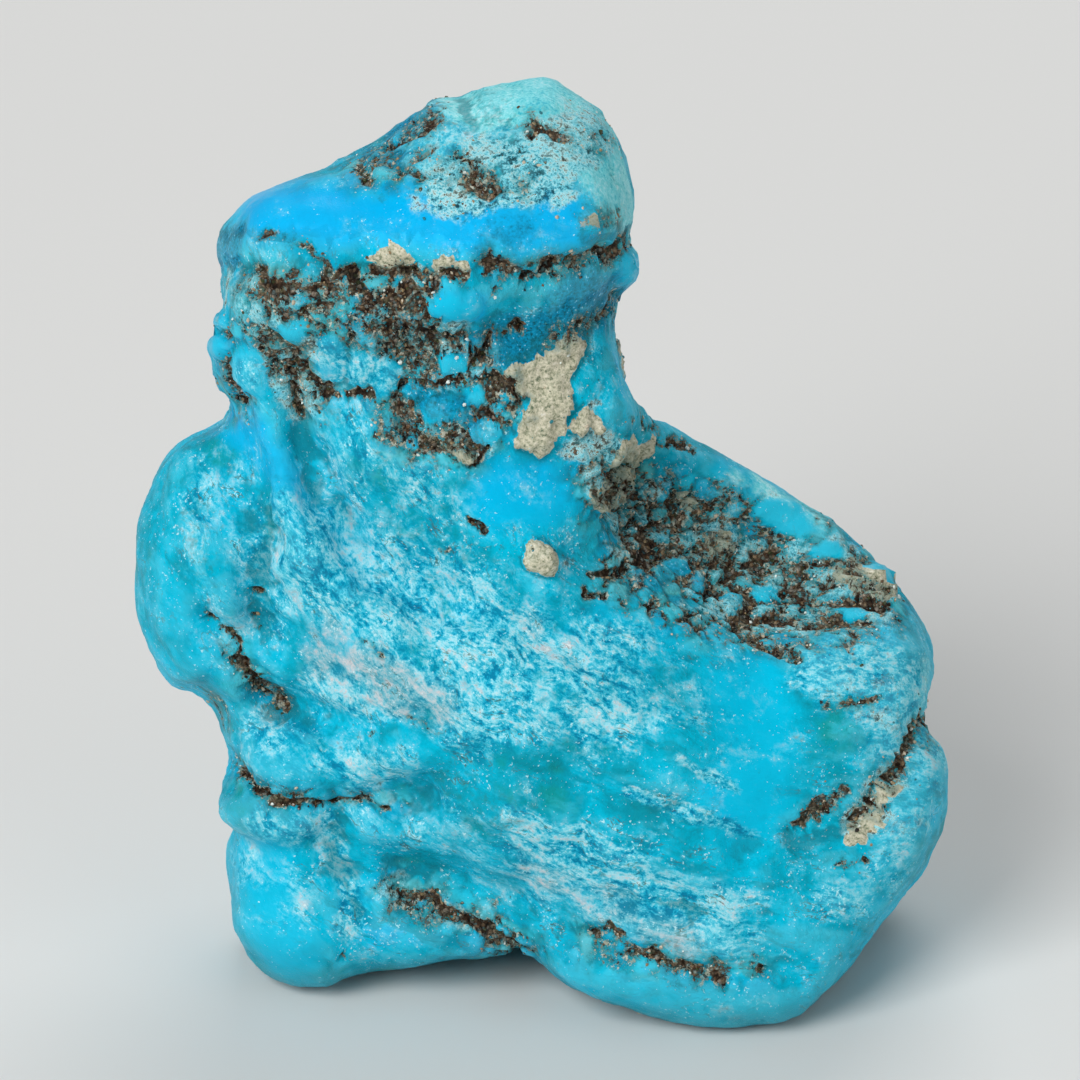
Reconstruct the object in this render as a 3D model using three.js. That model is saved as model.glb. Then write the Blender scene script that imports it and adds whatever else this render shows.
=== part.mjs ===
// A raw turquoise nugget: one solid stone, about 25 mm wide and 29 mm tall.
// Millimetres, +Z up. The origin is the middle of the bounding box's underside.
// +X is to the right of the stone's face and -Y points out of that face.
//
// The stone grew as nodules that run into each other. It is described as a list of
// rounded lobes melted together, trimmed to its outline, broken flat in places and
// creased where the nodules meet. A sphere of even triangles is shrunk onto that
// surface, and the undersides of its feet are ground flat on the floor, z = 0.

import * as THREE from "three";
import { mergeVertices } from "three/addons/utils/BufferGeometryUtils.js";
import { ImprovedNoise } from "three/addons/math/ImprovedNoise.js";

const STONE_COLOUR = 0x2fb4cf;
const STONE_ROUGHNESS = 0.45;

// How the sphere is shrunk onto the stone.
const SPHERE_DETAIL = 19; // 20 * (19 + 1)^2 = 8000 triangles
const SPHERE_RADIUS = 30;
const HEART = new THREE.Vector3(-1.5, 0, 12); // the point that the sphere shrinks towards
const SHRINK_STEPS = 30;
const SHRINK_SHARE = 0.8;
const RELAX_ROUNDS = 36;
const RELAX_SHARE = 0.5;
const SETTLE_ROUNDS = 3;
const EASE_ROUNDS = 3; // each is a step of relaxing and one back, so only short ripples go
const EASE_BACK = -0.52;
const PROBE = 0.03; // half the distance over which a slope is measured
const WELD = 1e-3; // corners of the sphere nearer than this are one point

// The face is described as it looks from 185 mm away and 25 degrees above it. A place
// on the face is x across and "up" along it, both in millimetres at the stone's middle.
const LOOK_DOWN = THREE.MathUtils.degToRad(25);
const SIN = Math.sin(LOOK_DOWN);
const COS = Math.cos(LOOK_DOWN);
const EYE = 184.6;
const MIDDLE = 13.87;

function onFace(x, y, z) {
  const near = EYE / (EYE + y * COS - (z - MIDDLE) * SIN);
  return [x * near, MIDDLE * COS + (y * SIN + (z - MIDDLE) * COS) * near];
}

// The outline of the stone on its face, as [x, up] points.
const OUTLINE = [
  [0.2, 26.65], [1.1, 26.3], [1.95, 25.65], [2.65, 24.6], [2.8, 23.6], [2.9, 22.6], [3.1, 21.2],
  [2.95, 20.5], [2.4, 19.8], [2.25, 18.3], [2.6, 16.9], [3.5, 16.1], [5.0, 15.35], [6.6, 14.4],
  [8.05, 13.15], [9.0, 12.9], [9.9, 12.3], [10.7, 11.2], [11.0, 10.7], [11.9, 9.55], [12.2, 8.2],
  [12.5, 5.8], [12.3, 3.9], [11.4, 2.05], [9.9, 0.5], [9.45, -0.35], [9.2, -0.9], [8.2, -1.7],
  [6.8, -2.3], [5.6, -2.55], [4.2, -2.25], [1.9, -1.35], [-0.4, -0.5], [-2.7, -0.25], [-4.4, -0.65],
  [-5.9, -0.95], [-7.6, -1.1], [-8.8, -0.4], [-9.35, 1.0], [-9.4, 2.5], [-9.95, 3.4], [-10.45, 4.4],
  [-10.2, 5.8], [-10.65, 7.4], [-11.6, 8.8], [-12.4, 10.5], [-12.2, 12.6], [-11.75, 14.8],
  [-11.1, 15.85], [-10.15, 16.4], [-9.95, 17.5], [-9.95, 18.2], [-9.8, 18.9], [-9.55, 19.8],
  [-10.1, 20.9], [-9.8, 21.8], [-8.8, 23.0], [-7.4, 23.6], [-5.5, 24.35], [-4.3, 25.15],
  [-3.1, 26.0], [-1.5, 26.5],
];
const OUTLINE_STEPS = 150;
const OUTLINE_MELT = 0.8;
const OUTLINE_ROOM = 0.14; // what the melting takes off the outline, given back

// A lobe's middle is at x, up on the face and at depth y. Its half-axes run across, in
// depth and in height; tilt leans it to the left, in degrees; square is 2 for an
// ellipsoid and more for a boxier lobe; melt is how wide its join with the others is.
const LOBES = {
  belly: { x: 1.8, up: 6.5, y: -0.9, size: [10.2, 5.9, 5.3], tilt: -29, square: 2.3, melt: 1 },
  back: { x: 0.0, up: 8.5, y: 2.4, size: [9.8, 4.8, 7.0], tilt: -25, square: 2.5, melt: 2 },
  shoulder: { x: -8.6, up: 11.7, y: 0.2, size: [4.3, 4.6, 5.4], tilt: -10, square: 2.3, melt: 1.2 },
  chest: { x: -3.3, up: 13.4, y: 0.2, size: [6.4, 4.7, 6.6], tilt: -8, square: 2.4, melt: 1.4 },
  neck: { x: -3.7, up: 18.2, y: 0.3, size: [7.3, 4.5, 4.6], tilt: 2, square: 2.7, melt: 1.4 },
  head: { x: -3.6, up: 22.0, y: -0.4, size: [7.2, 5.2, 2.6], tilt: 8, square: 2.8, melt: 0.9 },
  crown: { x: -0.8, up: 23.4, y: 0.8, size: [4.6, 4.3, 3.4], tilt: 14, square: 2.5, melt: 1.4 },
  rim: { x: 6.8, up: 12.1, y: 2.5, size: [6.4, 2.9, 2.6], tilt: -31, square: 2.3, melt: 1.6 },
  end: { x: 9.0, up: 5.4, y: 0.2, size: [4.2, 5.3, 6.0], tilt: 0, square: 2.4, melt: 1.2 },
  hip: { x: 5.0, up: 0.6, y: -3.0, size: [6.5, 4.4, 3.3], tilt: -6, square: 2.4, melt: 1.2 },
  flank: { x: -6.6, up: 6.0, y: -1.5, size: [4.9, 4.2, 2.4], tilt: -5, square: 2.3, melt: 0.9 },
  foot: { x: -6.8, up: 1.5, y: -1.4, size: [3.6, 3.6, 3.4], tilt: 4, square: 2.4, melt: 0.9 },
  arch: { x: -2.2, up: 1.9, y: -0.8, size: [5.0, 4.5, 2.7], tilt: -4, square: 2.2, melt: 1.1 },
  heel: { x: 0.5, up: 4.2, y: 4.0, size: [5.5, 3.4, 4.4], tilt: 0, square: 2.2, melt: 1.6 },
  budHigh: { x: -5.2, up: 19.8, y: 3.6, size: [3.2, 2.2, 2.8], tilt: 20, square: 2.1, melt: 0.8 },
  budLow: { x: 5.2, up: 9.4, y: 5.2, size: [4.4, 2.5, 3.2], tilt: -30, square: 2.1, melt: 0.9 },
  budSide: { x: -7.2, up: 9.8, y: 3.4, size: [3.2, 3.0, 4.2], tilt: 16, square: 2.1, melt: 0.8 },
};

// Places where the stone is hollowed: the same words as a lobe's, but taken out.
const HOLLOWS = {
  terrace: { x: 6.1, up: 12.7, y: -1.2, size: [5.2, 2.9, 1.9], tilt: -27, square: 2, melt: 1.1 },
};

// Faces where the stone broke flat: the direction that each faces, and how far out it is.
const FLATS = {
  brow: { facing: [-0.08, -0.82, 0.57], reach: 18.9, melt: 0.5 },
  temple: { facing: [-0.8, -0.45, 0.4], reach: 18.5, melt: 0.4 },
  nape: { facing: [0.12, 0.97, 0.2], reach: 8.1, melt: 0.7 },
};

// Creases where nodules meet, as [x, up] points along the face or the back. A negative
// depth is a ridge.
const CREASES = {
  underBrow: {
    width: 1, depth: 0.3,
    along: [[-9.6, 20.3], [-6.4, 20.4], [-3.2, 20], [0, 19.6], [2.6, 20.4]],
  },
  shoulderValley: {
    width: 0.8, depth: 0.65,
    along: [[-9.8, 16.9], [-9.4, 14.4], [-8.7, 11.6], [-8.4, 9.6]],
  },
  satinValley: {
    width: 1.1, depth: 0.7,
    along: [[-7.4, 16.8], [-6.4, 14.2], [-5.0, 12.2], [-3.2, 10.6]],
  },
  column: {
    width: 0.9, depth: -0.35,
    along: [[-9.2, 17.6], [-8.4, 14.6], [-7.2, 12.0], [-5.0, 9.6]],
  },
  terraceLip: {
    width: 0.9, depth: -0.25,
    along: [[0.4, 11.3], [3.0, 10.5], [5.6, 9.5], [8.6, 9.0], [10.8, 9.6]],
  },
  neckVein: {
    width: 0.6, depth: 0.3,
    along: [[-6.8, 17.0], [-4.4, 17.3], [-1.5, 17.6], [0.2, 18.6], [2.6, 20.0]],
  },
  leftCrack: {
    width: 0.6, depth: 0.4,
    along: [[-10.2, 9.6], [-9.2, 8.6], [-8.4, 7.3]],
  },
  flankFold: {
    width: 0.8, depth: 0.6,
    along: [[-10.4, 7.0], [-9.6, 5.4], [-8.6, 4.7], [-7, 4.4], [-4.4, 4.6], [-2.2, 5.2]],
  },
  endCrease: {
    width: 0.7, depth: 0.55,
    along: [[12.3, 7.4], [11.6, 5.9], [10.2, 4.5], [8.3, 3.7], [6.4, 3.3]],
  },
  footStep: {
    width: 0.5, depth: 0.4,
    along: [[-6.3, 4.2], [-6.1, 2.4], [-5.8, 0.6], [-5.6, -0.8]],
  },
  footCleft: {
    width: 0.8, depth: 0.5,
    along: [[-5.6, 3.0], [-4.6, 2.0], [-3.0, 1.5], [-1.8, 0.9], [-0.4, -0.2]],
  },
  hemCrack: {
    width: 0.6, depth: 0.35,
    along: [[1.2, 0.5], [3.4, -0.5], [5.6, -0.9], [7.8, -0.4]],
  },
  backSeam: {
    width: 0.9, depth: 0.6, back: true,
    along: [[-9.4, 17], [-5.8, 16.4], [-2.6, 17], [0.6, 18.4], [3, 19.6]],
  },
  backFold: {
    width: 1, depth: 0.6, back: true,
    along: [[10.4, 9.6], [7, 10.6], [2.6, 11.4], [-1.4, 10.8], [-3.6, 8.4]],
  },
  backValley: {
    width: 0.9, depth: 0.6, back: true,
    along: [[-3.8, 13.4], [-4, 10.6], [-4.6, 8], [-5.4, 4.6]],
  },
  backRidge: {
    width: 1.2, depth: -0.4, back: true,
    along: [[-1.6, 15.4], [1.2, 13.8], [1.8, 10.4], [0.4, 7.4]],
  },
};
const CREASE_STEPS = 10; // straight pieces in each crease
const CREASE_FADE = [1.5, 4.0]; // depth over which the face's creases give way to the back's

// Gentle swells all over, as wave heights and lengths.
const SWELLS = [
  { height: 0.3, length: 5.5 },
  { height: 0.22, length: 2.7 },
];
const SWELL_START = { x: 7.3, y: 3.1 }; // which stretch of the swells falls on the stone

function lobeAt({ x, up, y, size, tilt, square, melt }) {
  const angle = THREE.MathUtils.degToRad(tilt);
  const z = (up - y * SIN) / COS;
  return { x, y, z, size, square, melt, cos: Math.cos(angle), sin: Math.sin(angle) };
}

// Roughly the distance from a point to a lobe's surface, negative inside it.
function lobeDistance(lobe, x, y, z) {
  const across = (x - lobe.x) * lobe.cos + (z - lobe.z) * lobe.sin;
  const along = (z - lobe.z) * lobe.cos - (x - lobe.x) * lobe.sin;
  const u = Math.abs(across) / lobe.size[0];
  const v = Math.abs(y - lobe.y) / lobe.size[1];
  const w = Math.abs(along) / lobe.size[2];
  const reach = (u ** lobe.square + v ** lobe.square + w ** lobe.square) ** (1 / lobe.square);
  const slope = Math.hypot(u / lobe.size[0], v / lobe.size[1], w / lobe.size[2]) / Math.hypot(u, v, w);
  return (reach - 1) / slope;
}

// The smaller of two distances, rounded where they cross over a width of "melt".
function meltMin(a, b, melt) {
  const share = Math.min(Math.max(0.5 + (0.5 * (b - a)) / melt, 0), 1);
  return b + (a - b) * share - melt * share * (1 - share);
}
const meltMax = (a, b, melt) => -meltMin(-a, -b, melt);

// A line of points on the face, five numbers a segment: x, up, dx, dup, length squared.
function segmentsOf(points) {
  return Float64Array.from(points.slice(1).flatMap((end, i) => {
    const step = end.clone().sub(points[i]);
    return [points[i].x, points[i].y, step.x, step.y, step.lengthSq()];
  }));
}
const toVector = ([x, up]) => new THREE.Vector3(x, up, 0);

function nearestSquared(line, x, up) {
  let nearest = Infinity;
  for (let i = 0; i < line.length; i += 5) {
    const rx = x - line[i];
    const rup = up - line[i + 1];
    const t = Math.min(Math.max((rx * line[i + 2] + rup * line[i + 3]) / line[i + 4], 0), 1);
    const ox = rx - t * line[i + 2];
    const oup = rup - t * line[i + 3];
    nearest = Math.min(nearest, ox * ox + oup * oup);
  }
  return nearest;
}

const outline = segmentsOf(
  new THREE.CatmullRomCurve3(OUTLINE.map(toVector), true, "centripetal").getSpacedPoints(OUTLINE_STEPS),
);

// Distance to the outline, negative inside it.
function outlineDistance(x, up) {
  let inside = false;
  for (let i = 0; i < outline.length; i += 5) {
    const from = outline[i + 1];
    const rise = outline[i + 3];
    if (from > up !== from + rise > up && x < outline[i] + ((up - from) / rise) * outline[i + 2])
      inside = !inside;
  }
  const away = Math.sqrt(nearestSquared(outline, x, up));
  return inside ? -away : away;
}

const lobes = Object.values(LOBES).map(lobeAt);
const hollows = Object.values(HOLLOWS).map(lobeAt);
const flats = Object.values(FLATS).map(({ facing, reach, melt }) => ({
  facing: new THREE.Vector3(...facing).normalize(), reach, melt,
}));
const creases = Object.values(CREASES).map(({ along, ...crease }) => {
  const curve = new THREE.CatmullRomCurve3(along.map(toVector));
  return { ...crease, segments: segmentsOf(curve.getSpacedPoints(CREASE_STEPS)) };
});
const noise = new ImprovedNoise();

// Roughly the distance from a point to the stone's surface, negative inside it.
function stoneDistance(x, y, z) {
  let distance = Infinity;
  for (const lobe of lobes) {
    const next = lobeDistance(lobe, x, y, z);
    distance = distance === Infinity ? next : meltMin(distance, next, lobe.melt);
  }
  for (const lobe of hollows) distance = meltMax(distance, -lobeDistance(lobe, x, y, z), lobe.melt);
  for (const { facing, reach, melt } of flats)
    distance = meltMax(distance, facing.x * x + facing.y * y + facing.z * z - reach, melt);
  for (const { height, length } of SWELLS)
    distance += height * noise.noise(x / length + SWELL_START.x, y / length + SWELL_START.y, z / length);
  const [across, up] = onFace(x, y, z);
  distance = meltMax(distance, outlineDistance(across, up) - OUTLINE_ROOM, OUTLINE_MELT);
  const behind = THREE.MathUtils.smoothstep(y, ...CREASE_FADE);
  for (const { segments, width, depth, back } of creases) {
    const shown = back ? behind : 1 - behind;
    if (shown > 0)
      distance += shown * depth * Math.exp(-nearestSquared(segments, across, up) / (width * width));
  }
  return distance;
}

// Moves a point straight onto the stone's surface, by the slope over four near points.
function settle(p) {
  const corners = [[1, 1, 1], [1, -1, -1], [-1, 1, -1], [-1, -1, 1]];
  const slope = new THREE.Vector3();
  let sum = 0;
  for (const [i, j, k] of corners) {
    const d = stoneDistance(p.x + i * PROBE, p.y + j * PROBE, p.z + k * PROBE);
    slope.add(new THREE.Vector3(i * d, j * d, k * d));
    sum += d;
  }
  p.addScaledVector(slope.normalize(), -sum / corners.length);
}

function neighboursOf(geometry, count) {
  const near = Array.from({ length: count }, () => new Set());
  const index = geometry.getIndex().array;
  for (let i = 0; i < index.length; i += 3) {
    const corners = [index[i], index[i + 1], index[i + 2]];
    corners.forEach((corner, k) => {
      near[corner].add(corners[(k + 1) % 3]);
      near[corner].add(corners[(k + 2) % 3]);
    });
  }
  return near.map((set) => [...set]);
}

// Moves every point a share of the way to the middle of its neighbours.
function relax(points, neighbours, share) {
  const means = neighbours.map((near) => {
    const mean = new THREE.Vector3();
    for (const n of near) mean.add(points[n]);
    return mean.divideScalar(near.length);
  });
  points.forEach((p, i) => p.lerp(means[i], share));
}

function stoneGeometry() {
  const sphere = new THREE.IcosahedronGeometry(SPHERE_RADIUS, SPHERE_DETAIL);
  sphere.deleteAttribute("normal");
  sphere.deleteAttribute("uv");
  const stone = mergeVertices(sphere, WELD);
  const position = stone.getAttribute("position");
  const points = Array.from({ length: position.count }, (_, i) => {
    const p = new THREE.Vector3().fromBufferAttribute(position, i);
    const inward = p.clone().normalize().negate();
    p.add(HEART);
    for (let k = 0; k < SHRINK_STEPS; k++)
      p.addScaledVector(inward, SHRINK_SHARE * stoneDistance(p.x, p.y, p.z));
    return p;
  });
  const neighbours = neighboursOf(stone, points.length);
  for (let round = 0; round < RELAX_ROUNDS; round++) {
    relax(points, neighbours, RELAX_SHARE);
    for (const p of points) settle(p);
  }
  for (let round = 0; round < SETTLE_ROUNDS; round++) {
    for (const p of points) settle(p);
  }
  for (let round = 0; round < EASE_ROUNDS; round++) {
    relax(points, neighbours, RELAX_SHARE);
    relax(points, neighbours, EASE_BACK);
  }
  points.forEach((p, i) => position.setXYZ(i, p.x, p.y, Math.max(p.z, 0)));
  stone.computeVertexNormals();
  const box = new THREE.Box3().setFromBufferAttribute(position);
  return stone.translate(-(box.min.x + box.max.x) / 2, -(box.min.y + box.max.y) / 2, -box.min.z);
}

const nugget = new THREE.Mesh(
  stoneGeometry(),
  new THREE.MeshStandardMaterial({ color: STONE_COLOUR, roughness: STONE_ROUGHNESS, metalness: 0 }),
);
nugget.name = "nugget";

const model = new THREE.Group();
model.add(nugget);
export default model;
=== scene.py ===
# A raw turquoise nugget: one natural stone, with its crumbly brown matrix, on a pale
# studio floor. Blender works in metres; sizes of the stone itself are written in
# millimetres and turned to metres where a mesh is made.
import math
import bmesh
import bpy
import numpy as np
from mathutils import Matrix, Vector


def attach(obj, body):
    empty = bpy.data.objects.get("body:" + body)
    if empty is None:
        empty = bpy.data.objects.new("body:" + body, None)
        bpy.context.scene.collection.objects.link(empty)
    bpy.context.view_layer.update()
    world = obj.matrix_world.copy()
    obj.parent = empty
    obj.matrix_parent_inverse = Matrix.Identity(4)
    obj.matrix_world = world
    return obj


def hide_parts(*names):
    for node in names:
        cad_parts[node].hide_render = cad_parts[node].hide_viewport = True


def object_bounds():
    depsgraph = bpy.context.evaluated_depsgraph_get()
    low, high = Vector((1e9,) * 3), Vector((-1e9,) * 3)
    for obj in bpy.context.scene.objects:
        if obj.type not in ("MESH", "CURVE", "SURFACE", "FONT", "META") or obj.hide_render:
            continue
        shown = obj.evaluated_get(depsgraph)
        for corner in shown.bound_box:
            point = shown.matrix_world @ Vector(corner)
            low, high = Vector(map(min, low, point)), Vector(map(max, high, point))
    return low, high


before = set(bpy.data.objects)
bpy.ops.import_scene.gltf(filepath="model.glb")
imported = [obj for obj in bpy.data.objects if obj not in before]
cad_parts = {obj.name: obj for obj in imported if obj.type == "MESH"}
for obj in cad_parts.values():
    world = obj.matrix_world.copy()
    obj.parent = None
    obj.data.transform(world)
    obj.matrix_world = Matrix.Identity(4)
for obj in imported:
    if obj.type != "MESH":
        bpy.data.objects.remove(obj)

cad_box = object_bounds()

# ---------------------------------------------------------------------------
# The stone's body. Turquoise fills cavities in rock as rounded nodules that grow into
# each other, so its skin is lumpy and smooth where it grew and rough where it broke.
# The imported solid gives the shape, and two rounds of subdivision give it a fine skin.
# ---------------------------------------------------------------------------
MM = 0.001  # metres
SKIN_ROUNDS = 2  # 8000 triangles become 96000 four-sided faces, 0.13 mm across
IRONINGS = 12
STEP, STEP_BACK = 0.5, -0.52  # shares of smoothing in one ironing


def fine_copy(cad):
    """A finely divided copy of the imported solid, as a new object."""
    mesh = cad.data.copy()
    weld = bmesh.new()
    weld.from_mesh(mesh)
    bmesh.ops.remove_doubles(weld, verts=weld.verts, dist=1e-7)
    weld.to_mesh(mesh)
    weld.free()
    rough = bpy.data.objects.new("turquoise_stone", mesh)
    bpy.context.scene.collection.objects.link(rough)
    finer = rough.modifiers.new("finer", "SUBSURF")
    finer.levels = finer.render_levels = SKIN_ROUNDS
    shape = bpy.data.meshes.new_from_object(rough.evaluated_get(bpy.context.evaluated_depsgraph_get()))
    rough.modifiers.clear()
    rough.data = shape
    shape.materials.clear()
    for face in shape.polygons:
        face.use_smooth = True
    return rough


def read_points(mesh):
    """The mesh's points in millimetres, one row each, and the outward normal at each."""
    points = np.empty(len(mesh.vertices) * 3)
    normals = np.empty(len(mesh.vertices) * 3)
    mesh.vertices.foreach_get("co", points)
    mesh.vertex_normals.foreach_get("vector", normals)
    return points.reshape(-1, 3) / MM, normals.reshape(-1, 3)


def write_points(mesh, points):
    mesh.vertices.foreach_set("co", (points * MM).ravel())
    mesh.update()


stone = fine_copy(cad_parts["nugget"])
skin, facing = read_points(stone.data)
edge_ends = np.empty(len(stone.data.edges) * 2, dtype=np.int64)
stone.data.edges.foreach_get("vertices", edge_ends)
edge_ends = edge_ends.reshape(-1, 2)


def smoothed(values, rounds, share=STEP):
    """Each point's values mixed with its neighbours' a number of times."""
    count = np.bincount(edge_ends.ravel(), minlength=len(values))[:, None]
    for _ in range(rounds):
        total = np.zeros_like(values)
        for column in range(values.shape[1]):
            for here, other in ((0, 1), (1, 0)):
                across = values[edge_ends[:, other], column]
                total[:, column] += np.bincount(edge_ends[:, here], across, len(values))
        values = (1 - share) * values + share * total / count
    return values


# Undercuts are ironed out: each round is a step of smoothing and one back, so that only
# ripples go and the stone keeps its size. The feet stay on the floor.
for _ in range(IRONINGS):
    skin = smoothed(smoothed(skin, 1), 1, STEP_BACK)
skin[:, 2] = np.maximum(skin[:, 2], 0)
write_points(stone.data, skin)
skin, facing = read_points(stone.data)


# ---------------------------------------------------------------------------
# Where things lie on the stone. The front and the back are each mapped as they look
# from the front and 25 degrees above: x across and "up" along, in millimetres. The
# layers of the stone sweep down and to the right in arcs round one far centre.
# ---------------------------------------------------------------------------
LOOK_DOWN = math.radians(25)
EYE = 184.6  # mm from the stone's middle to the eye
MIDDLE = (-0.11, -0.195, 13.87)  # the point looked at, in mm
SWEEP_CENTRE = (9.0, 22.0)
SWEEP_RADIUS = 16  # mm, where distances along the layers are true
WANDER = 0.24  # mm that an edge strays, so that none on the stone is drawn with a ruler


def chances(cell):
    """Three even random numbers from 0 to 1 for each cell of a grid, the same every time:
    big odd numbers scramble the cell's own three."""
    mix = cell[:, 0] * 374761393 + cell[:, 1] * 668265263 + cell[:, 2] * 2147483647
    mix = (mix ^ (mix >> 13)) * 1274126177
    mix = mix ^ (mix >> 16)
    return np.stack([(mix >> shift) % 1024 / 1023 for shift in (0, 10, 20)], axis=1)


def noise(points, size, seed=0):
    """Smooth random swells of that size in millimetres, from about -1 to 1, in 3-D."""
    p = points / size + np.array([seed * 17.3, seed * 5.9, seed * 11.1])
    cell = np.floor(p).astype(np.int64)
    part = p - cell
    ease = part * part * part * (part * (part * 6 - 15) + 10)
    total = np.zeros(len(p))
    for corner in np.ndindex(2, 2, 2):
        slope = 2 * chances(cell + corner) - 1
        weight = np.prod(np.where(corner, ease, 1 - ease), axis=1)
        total += weight * np.sum(slope * (part - corner), axis=1)
    return total * 1.4


def rough_noise(points, size, rounds, seed=0):
    """Noise with finer and fainter rounds on top, as on a broken surface."""
    return sum(noise(points, size / 2**k, seed + k) / 2**k for k in range(rounds))


def nodules(points, size):
    """Packed nodules of about that size: how far each point is from the seam between two,
    in millimetres, and a chance number for the nodule that it is in."""
    p = points / size
    cell = np.floor(p).astype(np.int64)
    first, second = np.full((2, len(p)), np.inf)
    tone = np.zeros(len(p))
    for corner in np.ndindex(3, 3, 3):
        chance_here = chances(cell + corner - 1)
        away = np.linalg.norm(p - (cell + corner - 1 + chance_here), axis=1)
        tone = np.where(away < first, chance_here[:, 0], tone)
        second = np.minimum(second, np.maximum(first, away))
        first = np.minimum(first, away)
    return (second - first) * size, tone


def step_up(value, low, high):
    """0 below low, 1 above high and an S-curve between."""
    t = np.clip((value - low) / (high - low), 0, 1)
    return t * t * (3 - 2 * t)


def places(points):
    """x and up of each point, as seen from the front and above."""
    p = points - MIDDLE
    cos, sin = math.cos(LOOK_DOWN), math.sin(LOOK_DOWN)
    near = EYE / (EYE + p[:, 1] * cos - p[:, 2] * sin)
    up = MIDDLE[2] * cos + (p[:, 1] * sin + p[:, 2] * cos) * near
    return np.stack([p[:, 0] * near, up], axis=1)


to_eye = np.array([0, -math.cos(LOOK_DOWN), math.sin(LOOK_DOWN)])
frontness = step_up(facing @ to_eye, -0.25, 0.12)  # 1 facing the eye, 0 turned away
place = places(skin)
wander = np.stack([rough_noise(skin, 1.1, 4, 31), rough_noise(skin, 1.1, 4, 41)], axis=1)
true_place = place
place = place + WANDER * wander
out = place - SWEEP_CENTRE
layer = np.hypot(out[:, 0], out[:, 1])  # mm across the layers
along = np.arctan2(out[:, 1], out[:, 0]) * SWEEP_RADIUS  # mm along them


def nearness(line, half_width, soft=0.6):
    """1 within half_width of a line of places, 0 beyond, over a soft edge."""
    away = np.full(len(place), np.inf)
    for (ax, ay), (bx, by) in zip(line, line[1:]):
        dx, dy = bx - ax, by - ay
        t = np.clip(((place[:, 0] - ax) * dx + (place[:, 1] - ay) * dy) / (dx * dx + dy * dy), 0, 1)
        away = np.minimum(away, np.hypot(place[:, 0] - ax - t * dx, place[:, 1] - ay - t * dy))
    return 1 - step_up(away, half_width * (1 - soft), half_width * (1 + soft))


def painted(strokes, soft=0.6):
    """The strongest of several strokes at each point of the front."""
    return np.max([strength * nearness(line, width, soft) for strength, width, line in strokes], axis=0)


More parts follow.
